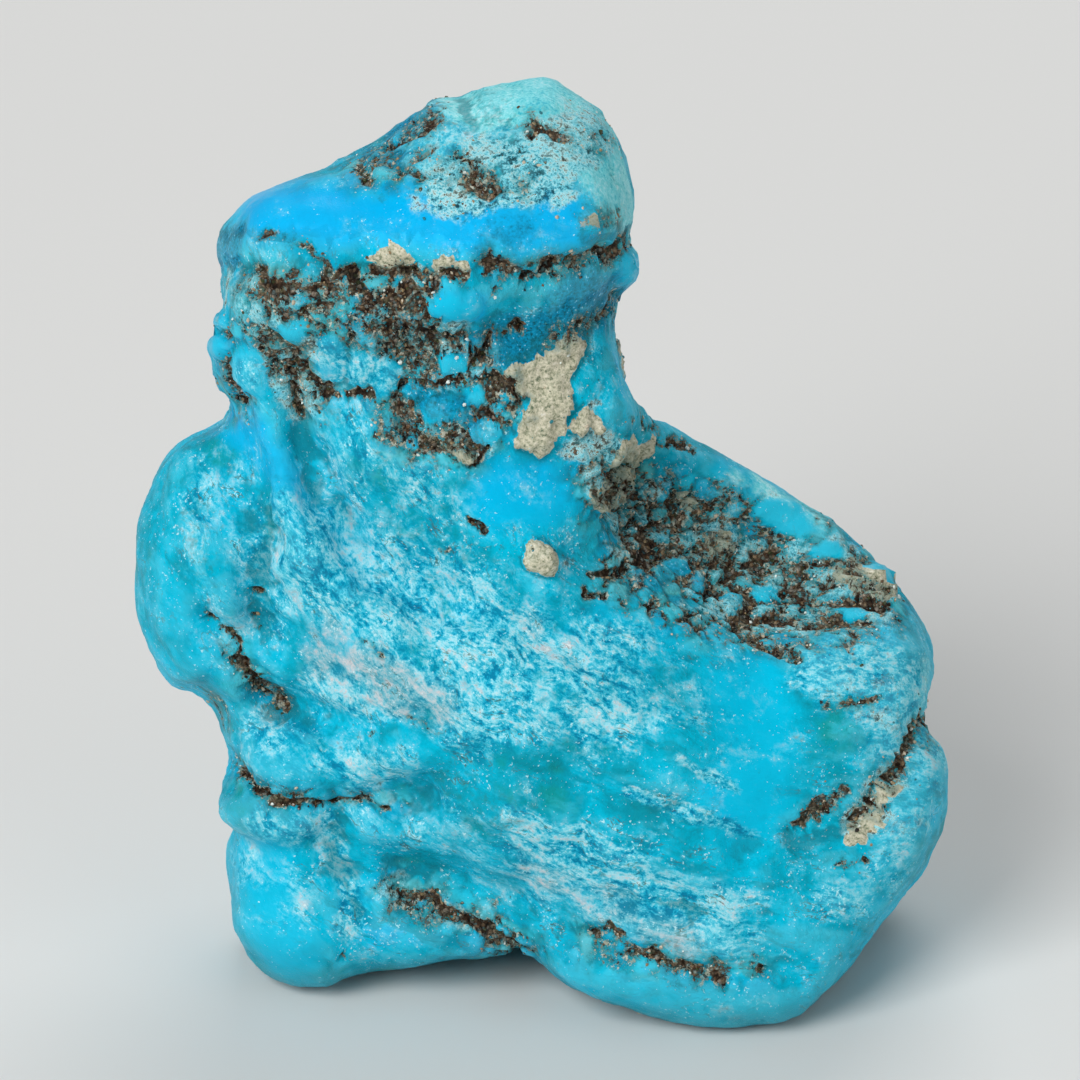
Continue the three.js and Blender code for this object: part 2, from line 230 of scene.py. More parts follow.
# ---------------------------------------------------------------------------
# The minerals on the front: each stroke is how strong it is, its half-width in
# millimetres and the line of places it follows. The minerals grew in layers and veins,
# and weather, iron and clay have changed them since.
# ---------------------------------------------------------------------------
# Veins of matrix: brown limonite in sandstone.
MATRIX = [
    # under the brow
    (0.8, 0.15, [(-8.5, 22.0), (-7.8, 21.9), (-7.1, 21.6), (-6.6, 21.1)]),
    (0.9, 0.15, [(-8.9, 21.0), (-8.4, 20.4), (-7.1, 20.4), (-6.3, 20.6)]),
    (1, 0.2, [(-6.6, 20.9), (-5.5, 20.8), (-4.3, 20.8), (-3.4, 20.5), (-2.4, 20.8)]),
    (0.9, 0.22, [(-5.6, 20.2), (-4.8, 20.0), (-4.3, 20.4), (-3.6, 19.9)]),
    (1, 0.15, [(-1.8, 21.0), (-1.1, 21.1), (-0.3, 20.4), (0.6, 20.9), (1.9, 21.2), (2.9, 21.6)]),
    (0.7, 0.09, [(-1.8, 20.0), (-1.2, 20.4), (0.0, 20.5)]),
    # the neck
    (0.85, 0.17, [(-4.4, 19.9), (-3.7, 19.2), (-3.2, 18.5), (-2.4, 18.1)]),
    (0.7, 0.12, [(-5.2, 19.4), (-4.6, 18.9), (-4.4, 18.4)]),
    (0.7, 0.12, [(-1.9, 18.2), (-1.5, 18.8), (-1.4, 19.4)]),
    (0.9, 0.22, [(-1.2, 18.9), (-0.7, 19.1)]),
    (1, 0.13, [(-6.8, 17.0), (-5.8, 17.1), (-4.4, 17.3), (-3.1, 17.5), (-1.5, 17.6), (-0.9, 17.4)]),
    (0.9, 0.1, [(-9.5, 19.0), (-9.6, 18.0), (-9.5, 16.9), (-9.4, 16.4)]),
    (0.9, 0.15, [(-7.7, 17.5), (-7.4, 16.4)]),
    (0.7, 0.12, [(0.2, 18.6), (0.6, 19.0), (1.6, 19.3), (1.9, 19.6), (2.6, 20.0)]),
    (0.8, 0.14, [(-4.5, 16.8), (-4.2, 15.8), (-3.1, 15.2), (-2.1, 15.0), (-1.5, 15.6)]),
    (0.7, 0.11, [(-3.4, 16.8), (-2.6, 16.1), (-1.6, 16.4)]),
    (0.9, 0.15, [(-2.1, 13.2), (-1.7, 13.0)]),
    (0.5, 0.12, [(-3.1, 12.2), (-2.1, 12.3), (-1.5, 12.4), (-0.8, 12.4)]),
    # the top of the head
    (0.8, 0.18, [(-0.1, 25.2), (0.4, 25.1)]),
    (0.8, 0.18, [(-1.9, 23.2), (-1.5, 23.3)]),
    (0.6, 0.08, [(1.6, 25.6), (2.5, 25.4)]),
    (0.8, 0.09, [(-2.9, 25.9), (-3.4, 25.0), (-4.3, 24.6), (-5.2, 24.3), (-6.0, 23.7)]),
    (0.7, 0.15, [(-5.8, 23.7), (-5.1, 23.6), (-4.3, 23.8), (-3.5, 23.9)]),
    # the terrace
    (0.6, 0.18, [(1.2, 11.0), (1.9, 10.8), (2.5, 10.7)]),
    (0.75, 0.2, [(1.9, 14.7), (2.2, 13.8), (3.1, 13.2), (3.4, 12.4), (2.8, 11.6), (1.6, 11.5)]),
    (0.65, 0.16, [(3.1, 14.7), (3.9, 13.8), (4.3, 13.2)]),
    (0.8, 0.24, [(4.9, 10.7), (5.9, 11.5), (6.8, 12.2), (7.6, 12.2)]),
    (0.8, 0.2, [(6.2, 10.4), (7.7, 11.0), (8.0, 11.6)]),
    (0.8, 0.14, [(4.0, 10.4), (5.6, 10.2), (7.4, 10.1), (8.9, 10.0), (10.5, 10.4)]),
    (0.8, 0.14, [(8.0, 10.7), (9.6, 10.7), (10.8, 10.3)]),
    (0.7, 0.15, [(4.2, 9.5), (4.9, 9.8)]),
    (0.8, 0.18, [(6.2, 9.5), (7.4, 9.0), (7.9, 8.9)]),
    (0.5, 0.12, [(8.6, 9.2), (9.6, 9.5), (10.2, 9.7)]),
    (0.45, 0.18, [(4.9, 14.4), (6.2, 13.8), (7.4, 13.2), (8.6, 12.9)]),
    (0.6, 0.15, [(2.8, 16.3), (3.4, 15.6), (4.6, 15.2)]),
    # the right end
    (0.9, 0.17, [(12.2, 7.4), (11.7, 6.6), (11.2, 5.8), (10.8, 5.4), (10.3, 4.8), (9.9, 4.2), (9.6, 3.6)]),
    (0.7, 0.1, [(11.2, 5.8), (10.9, 5.0), (10.7, 4.2)]),
    (1, 0.18, [(9.4, 4.8), (8.8, 4.4), (7.7, 3.7)]),
    (1, 0.3, [(8.9, 4.4), (8.4, 4.0)]),
    (0.75, 0.14, [(9.2, 2.5), (10.1, 2.8)]),
    (0.8, 0.13, [(8.9, 7.4), (9.6, 7.6), (10.4, 7.7)]),
    # the left side
    (1, 0.12, [(-10.2, 10.1), (-9.7, 9.5), (-9.2, 8.9), (-9.0, 8.3), (-8.5, 7.6), (-8.1, 7.3)]),
    (0.8, 0.16, [(-9.4, 8.8), (-9.0, 8.3)]),
    (0.8, 0.15, [(-8.8, 10.9), (-8.6, 10.8)]),
    (0.7, 0.12, [(-8.7, 10.0), (-8.6, 9.5)]),
    (0.4, 0.25, [(-10.4, 7.6), (-9.7, 6.6)]),
    (0.9, 0.16, [(-9.7, 5.6), (-9.1, 4.9), (-8.4, 4.4), (-7.4, 4.3)]),
    (0.7, 0.09, [(-7.4, 4.3), (-5.8, 4.4), (-4.3, 4.4)]),
    (0.4, 0.12, [(-6.1, 6.3), (-5.2, 6.6)]),
    (0.4, 0.12, [(-4.1, 7.0), (-3.1, 6.6), (-2.6, 6.9)]),
    (0.5, 0.09, [(-5.5, 9.5), (-4.8, 9.0)]),
    # the foot and the hem
    (1, 0.2, [(-4.4, 2.0), (-3.7, 1.7), (-2.9, 1.3), (-2.1, 0.7), (-1.2, 0.3), (-0.4, -0.2)]),
    (0.7, 0.12, [(-6.0, -0.2), (-5.8, -0.3)]),
    (0.8, 0.18, [(1.4, 0.3), (2.2, 0.7), (2.6, 0.1), (3.2, -0.4), (4.0, -0.6), (4.9, -0.7), (5.7, -1.1)]),
    (0.7, 0.18, [(6.3, -0.7), (6.9, -0.8)]),
    (0.4, 0.12, [(3.1, -1.1), (4.3, -1.3)]),
]
# Broad parts where thin seams of matrix run between small blue nodules.
WEB = [
    (0.56, 0.9, [(-8.6, 20.4), (-7.4, 19.6), (-6.2, 20.2)]),
    (0.58, 1.0, [(-6.2, 19.4), (-4.6, 19.4), (-3.4, 20.0)]),
    (0.46, 0.5, [(-1.6, 21.1), (0.2, 20.7), (1.6, 21.2), (2.8, 21.5)]),
    (0.54, 0.9, [(-8.4, 18.8), (-7.4, 17.8), (-7.0, 17.2)]),
    (0.58, 1.0, [(-4.6, 19.0), (-3.4, 18.2), (-2.2, 18.2)]),
    (0.45, 0.5, [(0.4, 18.9), (1.6, 19.4), (2.6, 20.1)]),
    (0.56, 1.0, [(-4.2, 16.2), (-2.6, 15.8), (-1.2, 16.8)]),
    (0.53, 1.2, [(2.2, 14.4), (3.2, 13.0), (3.0, 11.8)]),
    (0.53, 1.6, [(4.4, 12.2), (6.0, 11.6), (8.2, 11.2), (9.8, 10.8)]),
    (0.48, 0.8, [(4.2, 14.0), (5.6, 13.2), (7.6, 12.6)]),
    (0.5, 0.6, [(3.6, 10.4), (4.4, 10.0), (7.4, 9.4), (10.0, 9.8)]),
    (0.4, 0.5, [(12.0, 7.0), (11.2, 5.6), (10.2, 4.4)]),
    (0.46, 0.7, [(-4.4, 1.8), (-2.4, 0.9), (-0.6, -0.1)]),
    (0.42, 0.5, [(-9.6, 19.0), (-9.4, 16.6)]),
    (0.36, 0.5, [(-9.6, 9.2), (-8.3, 7.4)]),
    (0.36, 0.6, [(1.4, 0.3), (4.0, -0.5), (6.6, -0.8)]),
    (0.34, 0.4, [(-9.8, 5.8), (-8.4, 4.5), (-4.4, 4.5)]),
    (0.42, 0.6, [(-3.2, 25.4), (-4.2, 24.6), (-5.6, 23.9), (-3.8, 23.9)]),
    (0.46, 0.6, [(-2.8, 24.2), (-1.8, 23.6), (-0.6, 23.4)]),
    (0.44, 0.45, [(-0.4, 25.3), (0.8, 25.0), (2.0, 24.8)]),
    (0.44, 0.4, [(1.4, 22.2), (2.4, 22.6)]),
]
# Salt-and-pepper sandy stone.
GRIT = [
    (1, 0.95, [(-2.8, 23.4), (-1.4, 24.1), (0.2, 24.4), (1.4, 24.9)]),
    (0.9, 0.6, [(-2.2, 22.9), (-0.9, 23.2), (0.6, 23.4)]),
    (0.85, 0.9, [(-8.8, 20.0), (-7.9, 19.0), (-7.5, 17.8), (-7.3, 17.2)]),
    (0.75, 0.8, [(-5.2, 19.6), (-3.8, 19.0), (-2.6, 18.0)]),
    (0.6, 0.4, [(0.8, 24.0), (1.4, 25.2), (0.4, 25.4)]),
    (0.3, 0.8, [(9.8, 5.0), (10.8, 3.6)]),
    (0.6, 0.4, [(-4.6, 20.9), (-3.2, 20.6)]),
    (0.35, 0.4, [(1.4, 17.0), (1.8, 16.0)]),
    (0.9, 0.8, [(1.8, 15.2), (2.8, 13.8), (3.0, 12.4)]),
    (0.75, 1.1, [(4.6, 12.6), (7.0, 12.0), (9.0, 11.2)]),
    (0.7, 0.6, [(4.4, 10.6), (8.0, 10.2), (10.4, 10.6)]),
    (0.8, 0.5, [(10.9, 5.3), (9.8, 3.8)]),
    (0.25, 0.9, [(9.4, 8.2), (11.0, 7.2)]),
    (0.7, 0.5, [(-4.2, 1.9), (-2.4, 1.0)]),
    (0.5, 0.5, [(-3.4, 15.6), (-1.6, 15.4)]),
]
# Skin bleached evenly pale.
BLEACH = [
    (1, 1.0, [(-2.0, 26.3), (-0.4, 26.2), (1.2, 25.6), (2.3, 24.6), (2.9, 23.2)]),
    (0.7, 0.5, [(0.6, 24.4), (2.0, 23.6)]),
    (0.6, 0.3, [(2.9, 22.0), (3.1, 21.0)]),
    (0.5, 0.25, [(-8.9, 20.9), (-8.6, 20.0)]),
    (0.5, 0.4, [(6.0, 14.6), (8.6, 13.0)]),
    (0.4, 0.5, [(11.8, 8.6), (12.2, 6.4)]),
]
# Clay weathered to a cream crust.
CREAM = [
    (1, 0.6, [(-0.6, 17.5), (-0.2, 17.6), (0.5, 18.0), (0.9, 18.4)]),
    (1, 0.6, [(-0.2, 15.8), (0.1, 16.3), (0.4, 16.8)]),
    (0.8, 0.24, [(1.1, 16.0), (1.4, 16.5), (1.7, 16.2)]),
    (1, 0.36, [(-2.9, 21.0), (-2.5, 20.9)]),
    (0.9, 0.4, [(-4.8, 21.0), (-4.4, 21.3)]),
    (0.9, 0.32, [(-4.8, 20.0), (-4.4, 19.9)]),
    (0.8, 0.25, [(-4.7, 19.1), (-4.4, 18.9)]),
    (1, 0.43, [(-0.2, 12.1), (0.0, 12.0)]),
    (0.8, 0.5, [(1.9, 13.8), (2.6, 14.7), (2.8, 15.3)]),
    (0.8, 0.4, [(9.5, 11.5), (10.0, 11.2), (10.5, 10.9)]),
    (0.8, 0.36, [(5.1, 12.4), (5.7, 12.5)]),
    (0.7, 0.3, [(4.2, 13.9), (4.6, 13.6)]),
    (0.7, 0.18, [(1.4, 22.2), (1.7, 22.4)]),
    (0.8, 0.34, [(10.7, 4.8), (10.1, 3.9), (9.8, 3.4)]),
    (0.7, 0.22, [(-3.4, 15.5), (-2.6, 15.3), (-1.8, 15.3)]),
]
# Chalky layers of bleached turquoise.
CHALK = [
    (0.75, 2.31, [(-7.4, 12.0), (-4.3, 10.7), (-1.2, 9.2), (1.9, 8.0)]),
    (0.8, 1.23, [(-6.4, 8.3), (-3.7, 8.0), (-1.8, 7.0)]),
    (0.8, 1.38, [(0.0, 2.7), (2.5, 1.8), (5.6, 0.6)]),
    (0.55, 1.08, [(-6.4, 16.9), (-5.8, 15.3), (-4.3, 14.4), (-2.8, 13.8)]),
    (0.85, 1.3, [(8.9, 8.6), (10.8, 8.3), (11.4, 6.4)]),
    (0.55, 0.9, [(11.6, 5.0), (10.8, 2.4), (9.2, 1.4)]),
    (0.75, 0.7, [(-6.6, 18.4), (-5.6, 17.9), (-4.7, 17.6)]),
    (0.5, 0.5, [(-9.0, 17.8), (-8.8, 16.8)]),
    (1, 0.92, [(-3.1, 24.0), (-1.8, 25.8), (0.0, 26.0), (1.9, 25.2), (2.2, 24.3)]),
    (0.45, 1.23, [(-5.5, 4.6), (-2.4, 3.6), (-0.6, 2.4)]),
    (0.6, 1.0, [(-8.4, 6.4), (-6.4, 6.0), (-4.6, 5.6)]),
    (0.7, 0.5, [(-8.8, 3.9), (-7.6, 3.6), (-6.4, 3.4)]),
    (1, 0.4, [(-6.5, 3.6), (-6.0, 2.1), (-5.8, 0.7)]),
    (0.5, 0.8, [(-8.8, 2.6), (-7.4, 1.6)]),
    (1, 0.24, [(2.8, 4.7), (4.9, 4.1), (6.6, 3.5)]),
    (1, 0.2, [(-1.0, 4.2), (1.2, 3.6), (3.2, 2.7)]),
    (1, 0.22, [(0.4, 2.8), (3.0, 1.7), (5.0, 1.0)]),
    (1, 0.18, [(4.2, 5.8), (6.0, 4.9)]),
    (0.9, 0.5, [(-5.4, 9.2), (-4.6, 8.8), (-3.2, 8.0)]),
    (0.45, 0.9, [(-10.0, 15.0), (-10.6, 12.0), (-9.4, 9.8)]),
    (0.5, 1.23, [(1.2, 9.5), (4.3, 7.6)]),
    (0.4, 0.55, [(2.0, 18.4), (1.9, 16.9), (1.7, 15.3)]),
]
# Denser, darker blue stone.
DEEP = [
    (0.85, 0.92, [(-1.2, 18.6), (0.3, 19.0), (1.6, 20.0)]),
    (0.6, 0.74, [(-3.4, 16.9), (-2.1, 16.3)]),
    (0.9, 0.46, [(-4.3, 25.2), (-2.8, 25.5)]),
    (0.8, 0.37, [(-5.2, 24.4), (-3.8, 24.1)]),
    (0.8, 0.43, [(-9.7, 21.3), (-9.4, 22.0)]),
    (0.3, 0.5, [(-9.2, 16.0), (-7.7, 14.2), (-6.2, 12.4)]),
    (0.45, 0.77, [(-1.5, 21.6), (-0.6, 22.1)]),
    (0.5, 0.62, [(3.1, 11.3), (4.6, 11.7)]),
    (0.7, 0.25, [(-5.8, 11.2), (-5.7, 10.7)]),
]
# Even waxy skin, as it grew.
SMOOTH = [
    (1, 0.98, [(-8.3, 22.7), (-6.4, 22.6), (-4.3, 22.6), (-2.4, 22.4), (0.6, 22.3)]),
    (1, 1.11, [(-1.1, 13.8), (-0.1, 13.9)]),
    (1, 1.29, [(6.3, 8.0), (6.9, 6.1), (6.3, 4.6)]),
    (0.8, 0.9, [(-8.5, 2.7), (-8.4, 0.9), (-7.6, -0.0)]),
    (0.85, 0.7, [(-9.3, 16.0), (-8.0, 14.2), (-6.6, 12.6), (-5.6, 11.8)]),
    (0.4, 0.8, [(-10.9, 10.4), (-10.0, 8.6)]),
    (0.3, 0.5, [(-8.9, 6.0), (-7.4, 5.6)]),
    (0.8, 0.49, [(1.9, 10.4), (4.3, 9.5)]),
    (0.7, 0.46, [(5.6, 14.7), (7.4, 13.8)]),
    (1, 0.4, [(-2.9, 19.8), (-2.2, 19.8)]),
]
# Chalk stained pinkish grey.
BLUSH = [
    (0.9, 1.0, [(-6.8, 9.2), (-5.0, 8.4), (-3.4, 7.4)]),
    (0.7, 0.8, [(-0.6, 2.4), (2.0, 1.4), (4.6, 0.2)]),
    (0.5, 0.6, [(-1.6, 10.4), (0.4, 9.8)]),
]
# Stone stained green by iron.
GREEN = [
    (0.45, 0.8, [(-3.0, 5.2), (-1.8, 4.6), (-0.6, 4.2)]),
    (0.6, 0.4, [(9.2, 7.4), (10.2, 7.6)]),
    (0.6, 0.37, [(-10.3, 7.5), (-9.7, 6.6)]),
    (0.45, 0.7, [(-10.6, 13.4), (-10.2, 11.4)]),
    (0.5, 0.62, [(-1.8, 26.1), (-1.2, 25.7)]),
    (0.5, 0.62, [(-8.3, 19.3), (-7.7, 18.4)]),
]
# Single nodules that stand out of the matrix: x, up, half-width, half-height, lean in
# degrees and how far they stand out, all in millimetres.
NODULES = [
    (-2.6, 19.8, 0.8, 0.43, 0, 0.32),
    (-6.4, 18.2, 0.49, 0.68, 10, 0.25),
    (-5.5, 17.9, 0.52, 0.49, 0, 0.25),
    (-4.7, 17.7, 0.43, 0.52, -15, 0.2),
    (-9.8, 19.3, 0.25, 0.28, 0, 0.3),
    (-9.8, 18.5, 0.28, 0.37, 0, 0.3),
    (2.8, 20.7, 0.49, 0.74, 0, 0.35),
    (-0.1, 12.0, 0.46, 0.43, 0, 0.28),
    (-3.1, 16.6, 0.52, 0.46, 0, 0.15),
    (-2.7, 18.0, 0.46, 0.34, 0, 0.15),
    (7.4, 13.2, 0.98, 0.37, -25, 0.2),
    (10.4, 11.5, 0.5, 0.3, -25, 0.2),
    (-1.7, 15.9, 0.46, 0.37, 0, 0.15),
    (-7.6, 19.0, 0.4, 0.36, 0, 0.12),
    (-8.9, 17.7, 0.5, 0.8, 15, 0.15),
    (-2.0, 17.0, 0.34, 0.3, 0, 0.12),
    (4.2, 11.7, 0.4, 0.24, -10, 0.08),
    (7.0, 10.9, 0.34, 0.22, 0, 0.1),
    (8.9, 12.2, 0.36, 0.2, -20, 0.1),
    (9.6, 10.3, 0.4, 0.16, 0, 0.08),
]

# How much of each mineral there is at each point of the front, from 0 to 1.
front = {
    "core": painted(MATRIX),
    "web": painted(WEB, 0.8),
    "grit": painted(GRIT, 0.8),
    "bleach": painted(BLEACH, 0.9),
    "cream": step_up(painted(CREAM, 0.5) + 0.3 * rough_noise(skin, 0.6, 4, 67), 0.42, 0.58),
    "chalk": np.maximum(painted(CHALK, 0.9), 0.22),
    "deep": painted(DEEP, 0.8),
    "smooth": painted(SMOOTH, 0.5),
    "green": painted(GREEN, 0.9),
    "blush": painted(BLUSH, 0.9),
}

# Each nodule is a low dome with an oval edge that keeps matrix off it.
bump, island, proud = np.zeros((3, len(place)))
for x, up, wide, tall, lean, height in NODULES:
    turn = math.radians(lean)
    dx, dy = (true_place + 0.08 * wander - (x, up)).T
    u = (dx * math.cos(turn) + dy * math.sin(turn)) / wide
    v = (dy * math.cos(turn) - dx * math.sin(turn)) / tall
    bump = np.maximum(bump, height * np.sqrt(np.clip(1.15 - u * u - v * v, 0, 1)) * frontness)
    here = step_up(u * u + v * v, 1.25, 0.85)
    island = np.maximum(island, here)
    proud = np.maximum(proud, here * min(2.4 * height, 0.8))
for kind in ("core", "web", "grit"):
    front[kind] *= 1 - island
front["smooth"] = np.maximum(front["smooth"], proud)

# ---------------------------------------------------------------------------
# The sides, the back and the underside. They carry the same minerals, laid by the same
# growth: veins of matrix in the creases, chalky layers on the swells and smooth blue
# skin between them, placed by swells of noise.
# ---------------------------------------------------------------------------
BACK_MATRIX = [
    # along the creases between the nodules
    (1, 0.3, [(-9.4, 17), (-5.8, 16.4), (-2.6, 17), (0.6, 18.4), (3, 19.6)]),
    (0.9, 0.32, [(10.4, 9.6), (7, 10.6), (2.6, 11.4), (-1.4, 10.8), (-3.6, 8.4)]),
    (0.9, 0.25, [(-3.8, 13.4), (-4, 10.6), (-4.6, 8), (-5.4, 4.6)]),
    (0.8, 0.6, [(-2.6, 13.6), (-0.6, 12.4), (1.2, 12.2)]),
    (0.8, 0.5, [(4.6, 5.8), (6.2, 5.2), (8.2, 5.6)]),
    # veins across the broken flat of the neck
    (0.8, 0.14, [(-8.6, 22.6), (-6.2, 21.2), (-3.6, 21.6), (-0.6, 20.4), (2.6, 20.8)]),
    (0.7, 0.12, [(-5.2, 24.4), (-4.6, 22.6), (-3.6, 21.4)]),
]
BACK_WEB = [
    (0.5, 1.2, [(-8.4, 16.6), (-2.6, 16.6), (2.4, 18.8)]),
    (0.5, 1.8, [(-2.4, 13.2), (1.2, 12.0), (5.0, 11.2)]),
    (0.45, 1.4, [(4.4, 5.6), (8.4, 5.4)]),
    (0.4, 1.1, [(-4.2, 10.6), (-5.2, 5.6)]),
]
BACK_CREAM = [
    (1, 0.6, [(-1.4, 12.2), (-0.4, 11.6)]),
    (0.9, 0.5, [(5.6, 5.2), (6.6, 5.6)]),
    (0.9, 0.4, [(1.6, 18.6), (2.2, 17.8)]),
]
BACK_SMOOTH = [
    (1, 1.9, [(-5.0, 20.4), (-2.0, 19.6)]),
    (0.9, 1.6, [(6.0, 8.2), (8.0, 7.2)]),
    (0.9, 1.4, [(-7.6, 9.6), (-7.0, 7.0)]),
]
back = {
    "core": np.maximum(painted(BACK_MATRIX), 0.8 * step_up(rough_noise(skin, 3.4, 3, 4), 0.5, 0.8)),
    "web": np.maximum(painted(BACK_WEB, 0.8), 0.5 * step_up(rough_noise(skin, 5, 3, 3), 0.1, 0.5)),
    "grit": 0.9 * step_up(rough_noise(skin, 3.2, 2, 15), 0.3, 0.7),
    "bleach": 0.8 * step_up(rough_noise(skin, 4.5, 2, 17), 0.35, 0.75),
    "cream": np.maximum(painted(BACK_CREAM, 0.3), step_up(rough_noise(skin, 2.2, 2, 5), 0.8, 0.9)),
    "chalk": 0.8 * step_up(rough_noise(skin, 6, 2, 7), -0.1, 0.5),
    "deep": 0.8 * step_up(rough_noise(skin, 4, 2, 9), 0.3, 0.7),
    "smooth": np.maximum(painted(BACK_SMOOTH, 0.4), 0.8 * step_up(rough_noise(skin, 5, 2, 11), 0.2, 0.6)),
    "green": 0.7 * step_up(rough_noise(skin, 3, 2, 13), 0.45, 0.8),
    "blush": 0.8 * step_up(rough_noise(skin, 3, 2, 19), 0.35, 0.7),
}
mineral = {kind: frontness * front[kind] + (1 - frontness) * back[kind] for kind in front}

# Matrix fills the seams between nodules: the more of it there is, the wider the seams.
NODULE, SMALL_NODULE = 0.8, 0.4  # mm across
SEAM, SMALL_SEAM = 0.26, 0.15  # mm from the middle of a seam to its edge
FLATNESS = 1.45  # nodules are wider than they are tall
bent = skin + 0.22 * np.stack([rough_noise(skin, 0.9, 3, seed) for seed in (21, 23, 25)], axis=1)
bent[:, 2] *= FLATNESS
seam_far, tone = nodules(bent, NODULE)
small_far, _ = nodules(bent, SMALL_NODULE)
seam = np.clip(seam_far / SEAM, 0, 1)
small_seam = np.clip(small_far / SMALL_SEAM, 0, 1)
cover = np.maximum(0.84 * mineral["core"], mineral["web"])
filled = cover - 0.7 + 0.27 * (1 - seam) + 0.1 * (1 - small_seam)
filled += 0.2 * rough_noise(skin, 0.9, 4, 61)
matrix = step_up(filled, -0.06, 0.14)
for kind in ("smooth", "chalk", "grit", "bleach"):
    mineral[kind] = mineral[kind] * (1 - 0.9 * matrix)

# ---------------------------------------------------------------------------
# The fine relief. Matrix weathers back as a crumbly hollow between nodules that bulge,
# cream crust stands proud, chalky layers wear into ribs along the sweep, and smooth skin
# keeps only faint dimples. The feet stay flat. Depths are in millimetres.
# ---------------------------------------------------------------------------
FOLDS = [
    # how far it stands out (or in, below zero), its half-width and its line, in mm
    (-0.45, 0.5, [(-9.3, 16.6), (-8.9, 14.6), (-8.6, 12.6), (-8.7, 10.8), (-8.6, 9.6)]),
    (0.22, 0.6, [(-8.2, 16.2), (-7.8, 14.0), (-7.2, 12.0)]),
    (-0.28, 0.5, [(-7.6, 16.4), (-6.6, 13.8), (-5.2, 11.8)]),
    (0.2, 0.5, [(-6.6, 16.4), (-5.8, 14.2), (-4.6, 12.4)]),
    (-0.35, 0.4, [(-10.3, 10.2), (-9.2, 8.9), (-8.2, 7.3)]),
    (-0.3, 0.5, [(-10.5, 7.8), (-9.7, 6.4), (-9.4, 5.2)]),
    (-0.35, 0.5, [(-9.7, 5.6), (-8.4, 4.4), (-5.8, 4.3), (-3.6, 4.6)]),
    (0.22, 0.8, [(-9.0, 6.2), (-6.6, 6.0), (-4.6, 6.2)]),
    (-0.28, 0.45, [(-8.0, 7.6), (-5.6, 6.9), (-3.4, 6.8)]),
    (-0.12, 0.5, [(-6.2, 3.4), (-6.0, 2.0), (-5.6, 0.4)]),
    (0.2, 0.45, [(-5.5, 3.6), (-5.2, 2.2), (-4.8, 0.8)]),
    (-0.3, 0.5, [(1.0, 0.4), (3.4, -0.4), (6.0, -0.9), (8.0, -0.6)]),
    (0.15, 0.6, [(0.6, -0.8), (4.0, -1.6), (7.0, -1.7)]),
    (-0.3, 0.45, [(12.3, 7.6), (11.2, 5.8), (9.9, 3.9), (8.0, 3.4)]),
    (0.22, 0.7, [(12.2, 5.4), (11.2, 3.6)]),
    (-0.32, 0.4, [
        (-9.3, 21.0), (-7.0, 21.3), (-5.0, 21.0), (-2.4, 20.9), (0.0, 20.7), (2.0, 21.3), (3.0, 21.8),
    ]),
    (0.22, 0.6, [(-8.4, 22.4), (-5.0, 21.8), (-1.6, 21.8), (1.0, 21.8)]),
    (0.25, 0.5, [(2.9, 21.2), (3.0, 20.4)]),
    (-0.3, 0.9, [(3.1, 24.9), (3.4, 23.2)]),
    (0.2, 0.5, [(-3.2, 25.8), (-3.0, 25.6)]),
    (-0.15, 0.35, [(-2.4, 26.3), (-2.2, 25.4)]),
    (0.2, 0.5, [(0.2, 26.6), (0.0, 26.0)]),
    (0.25, 0.6, [(2.4, 16.4), (4.4, 15.2), (6.6, 14.0), (8.6, 12.9)]),
    (0.2, 0.6, [(0.6, 11.0), (3.0, 10.0), (5.6, 9.1), (8.6, 8.6)]),
    (-0.15, 0.4, [(-6.6, 10.4), (-3.6, 8.8), (-0.6, 7.6), (2.0, 6.8)]),
    (0.14, 0.5, [(-5.6, 11.0), (-1.8, 9.2), (1.6, 7.8)]),
    (-0.14, 0.4, [(-1.6, 6.0), (2.0, 4.8), (6.4, 3.2)]),
    (0.12, 0.5, [(-0.6, 4.4), (3.0, 3.0), (6.6, 1.8)]),
    (-0.14, 0.4, [(-2.0, 3.4), (1.6, 1.9), (4.6, 0.9)]),
]
folds = np.sum([rise * nearness(line, width, 1) for rise, width, line in FOLDS], axis=0) * frontness
grain_space = np.stack([layer, along * 0.2, skin[:, 1] * 0.5], axis=1)  # stretched along the layers
ribs = rough_noise(grain_space, 0.9, 3, 51)
fine_ribs = rough_noise(grain_space, 0.34, 2, 53)
crumbs = rough_noise(skin, 0.5, 2, 62)
pits = rough_noise(skin, 0.42, 2, 63)
calm = 1 - 0.88 * mineral["smooth"]
lumps = np.abs(rough_noise(skin, 3.4, 2, 71)) - 0.3  # rounded, with sharp valleys between
# Folds and lumps first, then ribs and pits where the skin is not smooth, nodules, sand,
# bleached skin, sunken matrix and proud cream crust.
relief = folds + 0.26 * lumps * (0.25 + 0.75 * calm)
relief += calm * (0.05 + 0.07 * mineral["chalk"]) * ribs
relief += calm * (0.012 + 0.03 * mineral["chalk"]) * fine_ribs
relief += calm * 0.03 * pits
nodular = np.clip(2.2 * mineral["web"], 0, 1)
relief += nodular * (1 - matrix) * (0.12 * np.sqrt(seam) + 0.04 * small_seam - 0.05)
relief += mineral["grit"] * (0.09 * crumbs + 0.05 * pits)
relief += mineral["bleach"] * 0.05 * crumbs
relief += matrix * (-0.12 - 0.07 * mineral["core"] + 0.11 * crumbs + 0.06 * pits)
relief += mineral["cream"] * (0.2 + 0.18 * crumbs + 0.08 * pits + 0.06 * rough_noise(skin, 0.9, 2, 65))
relief += bump

FLAT_BELOW, FULL_ABOVE = 0.02, 0.45  # mm: the relief dies away towards the floor
relief *= step_up(skin[:, 2], FLAT_BELOW, FULL_ABOVE)
moved = skin + facing * relief[:, None]
